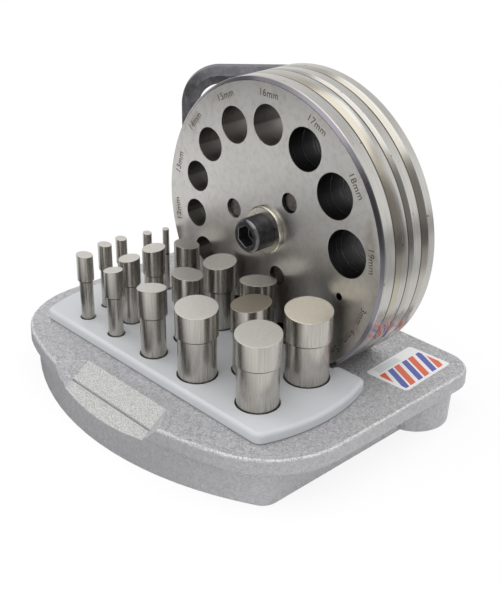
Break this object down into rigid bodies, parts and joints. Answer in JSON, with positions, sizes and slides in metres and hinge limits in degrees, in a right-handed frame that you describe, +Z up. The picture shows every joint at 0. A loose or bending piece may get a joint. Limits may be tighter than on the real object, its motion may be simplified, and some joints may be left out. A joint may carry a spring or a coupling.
{
  "type": "disc cutter",
  "caption": "Bench disc cutter: cast base with a tray of graded round punches, a bolted stack of round die plates standing in a cradle, and a stored hex key.",
  "frame": {"origin": "middle of the footprint at bench level, counting the stored key's arm", "axes": "+X to the right seen from the front, +Y from the bowed front to the back, +Z up from the bench"},
  "size_m": [0.1708, 0.1458, 0.1342],
  "materials": {
    "hammered_paint": "silver hammer-finish paint with small pits, over a rough casting",
    "tray_plastic": "smooth light blue-grey satin",
    "ground_steel": "finely ground faces, turned rims, lightly heat-tinted bevels",
    "pin_steel": "dark ground pin ends",
    "black_oxide": "satin black oxide",
    "zinc_steel": "dull zinc plate",
    "key_black": "satin black",
    "punch_steel": "turned and ground tool steel, slightly warm"
  },
  "bodies": {
    "base": {"base_casting": "hammered_paint", "punch_tray": "tray_plastic"},
    "die_block": {"die_plate_front": "ground_steel", "die_plate_rear": "ground_steel", "dowel_pins": "pin_steel"},
    "guide_block": {"guide_plate_front": "ground_steel", "guide_plate_rear": "ground_steel", "bolt_washer": "zinc_steel"},
    "bolt": {"clamp_bolt": "black_oxide"},
    "key": {"hex_key": "key_black"},
    "punch_19mm": {"punch_19mm": "punch_steel"},
    "punch_18mm": {"punch_18mm": "punch_steel"},
    "punch_17mm": {"punch_17mm": "punch_steel"},
    "punch_16mm": {"punch_16mm": "punch_steel"},
    "punch_15mm": {"punch_15mm": "punch_steel"},
    "punch_14mm": {"punch_14mm": "punch_steel"},
    "punch_13mm": {"punch_13mm": "punch_steel"},
    "punch_12mm": {"punch_12mm": "punch_steel"},
    "punch_11mm": {"punch_11mm": "punch_steel"},
    "punch_10mm": {"punch_10mm": "punch_steel"},
    "punch_09mm": {"punch_09mm": "punch_steel"},
    "punch_08mm": {"punch_08mm": "punch_steel"},
    "punch_07mm": {"punch_07mm": "punch_steel"},
    "punch_06mm": {"punch_06mm": "punch_steel"},
    "punch_05mm": {"punch_05mm": "punch_steel"},
    "punch_04mm": {"punch_04mm": "punch_steel"},
    "punch_03mm": {"punch_03mm": "punch_steel"}
  },
  "joints": [
    {"name": "lift_19mm", "type": "slide", "parent": "base", "child": "punch_19mm", "axis": [0, 0, 1], "range_m": [0, 0.03]},
    {"name": "lift_18mm", "type": "slide", "parent": "base", "child": "punch_18mm", "axis": [0, 0, 1], "range_m": [0, 0.03]},
    {"name": "lift_17mm", "type": "slide", "parent": "base", "child": "punch_17mm", "axis": [0, 0, 1], "range_m": [0, 0.03]},
    {"name": "lift_16mm", "type": "slide", "parent": "base", "child": "punch_16mm", "axis": [0, 0, 1], "range_m": [0, 0.03]},
    {"name": "lift_15mm", "type": "slide", "parent": "base", "child": "punch_15mm", "axis": [0, 0, 1], "range_m": [0, 0.009]},
    {"name": "lift_14mm", "type": "slide", "parent": "base", "child": "punch_14mm", "axis": [0, 0, 1], "range_m": [0, 0.03]},
    {"name": "lift_13mm", "type": "slide", "parent": "base", "child": "punch_13mm", "axis": [0, 0, 1], "range_m": [0, 0.03]},
    {"name": "lift_12mm", "type": "slide", "parent": "base", "child": "punch_12mm", "axis": [0, 0, 1], "range_m": [0, 0.03]},
    {"name": "lift_11mm", "type": "slide", "parent": "base", "child": "punch_11mm", "axis": [0, 0, 1], "range_m": [0, 0.03]},
    {"name": "lift_10mm", "type": "slide", "parent": "base", "child": "punch_10mm", "axis": [0, 0, 1], "range_m": [0, 0.03]},
    {"name": "lift_09mm", "type": "slide", "parent": "base", "child": "punch_09mm", "axis": [0, 0, 1], "range_m": [0, 0.03]},
    {"name": "lift_08mm", "type": "slide", "parent": "base", "child": "punch_08mm", "axis": [0, 0, 1], "range_m": [0, 0.03]},
    {"name": "lift_07mm", "type": "slide", "parent": "base", "child": "punch_07mm", "axis": [0, 0, 1], "range_m": [0, 0.03]},
    {"name": "lift_06mm", "type": "slide", "parent": "base", "child": "punch_06mm", "axis": [0, 0, 1], "range_m": [0, 0.03]},
    {"name": "lift_05mm", "type": "slide", "parent": "base", "child": "punch_05mm", "axis": [0, 0, 1], "range_m": [0, 0.03]},
    {"name": "lift_04mm", "type": "slide", "parent": "base", "child": "punch_04mm", "axis": [0, 0, 1], "range_m": [0, 0.03]},
    {"name": "lift_03mm", "type": "slide", "parent": "base", "child": "punch_03mm", "axis": [0, 0, 1], "range_m": [0, 0.03]},
    {"name": "stack_lift", "type": "slide", "parent": "base", "child": "die_block", "axis": [0, 0, 1], "range_m": [0, 0.06]},
    {"name": "sheet_gap", "type": "slide", "parent": "die_block", "child": "guide_block", "axis": [0, -1, 0], "range_m": [0, 0.0008]},
    {"name": "bolt_turn", "type": "hinge", "parent": "guide_block", "child": "bolt", "pos_m": [0.012, 0.00343, 0.0732], "axis": [0, -1, 0], "range_deg": [0, 182]},
    {"name": "key_lift", "type": "slide", "parent": "base", "child": "key", "axis": [0, 0, 1], "range_m": [0, 0.03]}
  ],
  "couplings": [
    {"joint": "bolt_turn", "follows": "sheet_gap", "rad_per_m": 3957.9}
  ]
}
